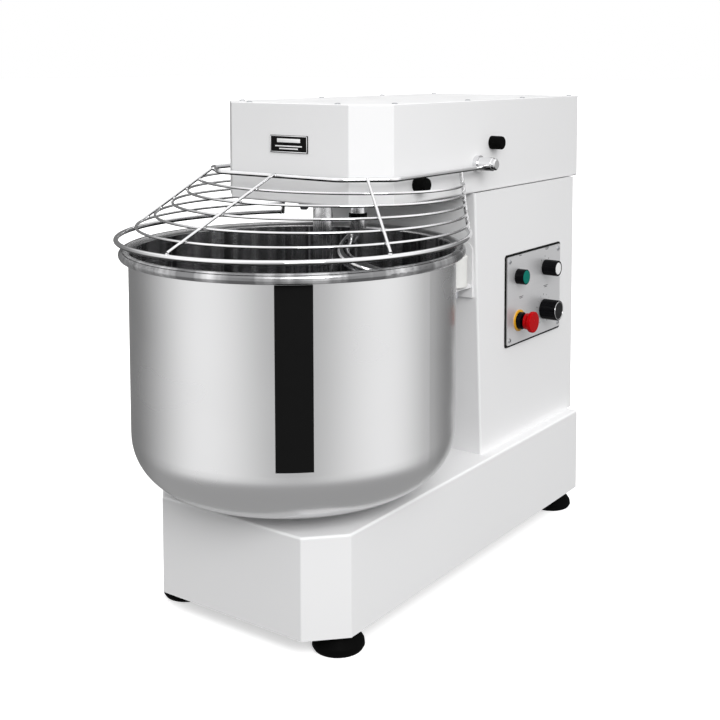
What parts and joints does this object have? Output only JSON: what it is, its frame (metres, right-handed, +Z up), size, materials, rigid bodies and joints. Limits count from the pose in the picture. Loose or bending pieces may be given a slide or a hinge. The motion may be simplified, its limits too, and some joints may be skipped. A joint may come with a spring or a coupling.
{
  "type": "commercial spiral dough mixer",
  "caption": "Floor-standing fixed-bowl spiral dough mixer with a turning steel bowl, spiral arm, breaker bar, hinged wire guard and side control panel.",
  "frame": {"origin": "on the floor, under the middle of the machine's outer box", "axes": "+Z up; -Y is the front, where the bowl is loaded; +X is the side with the control panel; Y is the longest direction"},
  "size_m": [0.5848, 1.0064, 0.851],
  "materials": {
    "white_paint": "white enamel, semi-gloss, very slight orange peel",
    "bowl_steel": "stainless steel, fine circumferential polish",
    "dark_strip": "flat near-black band",
    "wire_chrome": "chromed round wire",
    "tool_steel": "polished stainless bar",
    "black_rubber": "moulded black rubber",
    "panel_steel": "horizontally brushed plate",
    "black_gasket": "black gasket",
    "black_plastic": "semi-gloss black moulding",
    "green_plastic": "green translucent button",
    "red_plastic": "red moulding",
    "yellow_plastic": "yellow ring",
    "white_cap": "white cap disc",
    "dark_cap": "black face with a thin bright rim",
    "white_nylon": "turned white nylon",
    "zinc_steel": "zinc-plated fasteners",
    "badge_black": "black badge with a bright border",
    "cast_iron": "machined casting",
    "belt_rubber": "rubber drive belt",
    "motor_grey": "grey motor enamel",
    "box_plastic": "grey enclosure"
  },
  "bodies": {
    "machine": {"rubber_feet": "black_rubber", "foot_bolts": "zinc_steel", "base_shell": "white_paint", "base_floor_plate": "white_paint", "column_shell": "white_paint", "column_rear_cover": "white_paint", "cable_gland": "black_plastic", "head_shell": "white_paint", "head_top_cover": "white_paint", "badge_plate": "badge_black", "cover_screws": "zinc_steel", "bowl_bearing_housing": "cast_iron", "breaker_bar": "tool_steel", "head_floor_fasteners": "zinc_steel", "spiral_bearing_housing": "cast_iron", "guard_pivot_bushes": "tool_steel", "guard_stops": "black_rubber", "guide_roller_bracket": "white_paint", "guide_roller_pin": "zinc_steel", "panel_gasket": "black_gasket", "panel_plate": "panel_steel", "panel_screws": "zinc_steel", "control_contact_blocks": "box_plastic", "start_button_bezel": "black_plastic", "estop_yellow_ring": "yellow_plastic", "estop_collar": "black_plastic", "knob_sleeves": "black_plastic", "shaft_bearings": "cast_iron", "motor_housing": "motor_grey", "motor_mounting_plate": "white_paint", "head_belts": "belt_rubber", "base_belts": "belt_rubber", "control_box": "box_plastic"},
    "bowl": {"bowl_shell": "bowl_steel", "bowl_band": "dark_strip", "bowl_spindle": "tool_steel", "bowl_pulley": "cast_iron"},
    "spiral": {"spiral_hook": "tool_steel", "spiral_shaft": "tool_steel", "spiral_pulley": "cast_iron"},
    "drive_line": {"drive_shaft": "tool_steel", "drive_shaft_pulleys": "cast_iron"},
    "idler": {"idler_shaft": "tool_steel", "idler_pulleys": "cast_iron"},
    "motor_rotor": {"motor_shaft": "tool_steel", "motor_pulley": "cast_iron"},
    "guard": {"guard_top_frame": "wire_chrome", "guard_ring": "wire_chrome", "guard_hoops": "wire_chrome", "guard_ribs": "wire_chrome", "guard_pivot_pins": "wire_chrome"},
    "roller": {"guide_roller": "white_nylon"},
    "start_button": {"start_button_cap": "green_plastic"},
    "stop_stem": {"estop_stem": "black_plastic"},
    "stop_head": {"estop_mushroom": "red_plastic"},
    "selector": {"selector_knob": "black_plastic", "selector_knob_cap": "white_cap"},
    "timer": {"timer_knob": "black_plastic", "timer_knob_cap": "dark_cap"}
  },
  "joints": [
    {"name": "spiral_spin", "type": "hinge", "parent": "machine", "child": "spiral", "pos_m": [0, -0.025, 0.6], "axis": [0, 0, 1], "continuous": true},
    {"name": "bowl_spin", "type": "hinge", "parent": "machine", "child": "bowl", "pos_m": [0, -0.2055, 0.216], "axis": [0, 0, 1], "continuous": true},
    {"name": "drive_shaft_spin", "type": "hinge", "parent": "machine", "child": "drive_line", "pos_m": [0, 0.17, 0.4], "axis": [0, 0, 1], "continuous": true},
    {"name": "idler_spin", "type": "hinge", "parent": "machine", "child": "idler", "pos_m": [0, 0.04, 0.1], "axis": [0, 0, 1], "continuous": true},
    {"name": "motor_spin", "type": "hinge", "parent": "machine", "child": "motor_rotor", "pos_m": [0, 0.355, 0.7], "axis": [0, 0, 1], "continuous": true},
    {"name": "roller_spin", "type": "hinge", "parent": "machine", "child": "roller", "pos_m": [0.1551, 0.0506, 0.54], "axis": [0, 0, 1], "continuous": true},
    {"name": "guard_tilt", "type": "hinge", "parent": "machine", "child": "guard", "pos_m": [0, 0.093, 0.736], "axis": [-1, 0, 0], "range_deg": [0, 134]},
    {"name": "start_press", "type": "slide", "parent": "machine", "child": "start_button", "axis": [-1, 0, 0], "range_m": [0, 0.004], "stiffness_N_per_m": 900, "springref_m": -0.002},
    {"name": "stop_press", "type": "slide", "parent": "machine", "child": "stop_stem", "axis": [-1, 0, 0], "range_m": [0, 0.005]},
    {"name": "stop_twist", "type": "hinge", "parent": "stop_stem", "child": "stop_head", "pos_m": [0.185, 0.243, 0.424], "axis": [1, 0, 0], "range_deg": [-45, 0], "stiffness_Nm_per_rad": 0.3, "springref_deg": 5.73},
    {"name": "selector_turn", "type": "hinge", "parent": "machine", "child": "selector", "pos_m": [0.185, 0.3485, 0.512], "axis": [1, 0, 0], "range_deg": [-45, 45]},
    {"name": "timer_turn", "type": "hinge", "parent": "machine", "child": "timer", "pos_m": [0.185, 0.344, 0.429], "axis": [1, 0, 0], "range_deg": [-300, 0]}
  ],
  "couplings": [
    {"joint": "drive_shaft_spin", "follows": "spiral_spin", "ratio": 2},
    {"joint": "motor_spin", "follows": "spiral_spin", "ratio": 7.2222},
    {"joint": "idler_spin", "follows": "spiral_spin", "ratio": 0.66667},
    {"joint": "bowl_spin", "follows": "spiral_spin", "ratio": 0.13333},
    {"joint": "roller_spin", "follows": "spiral_spin", "ratio": -1.3974}
  ]
}
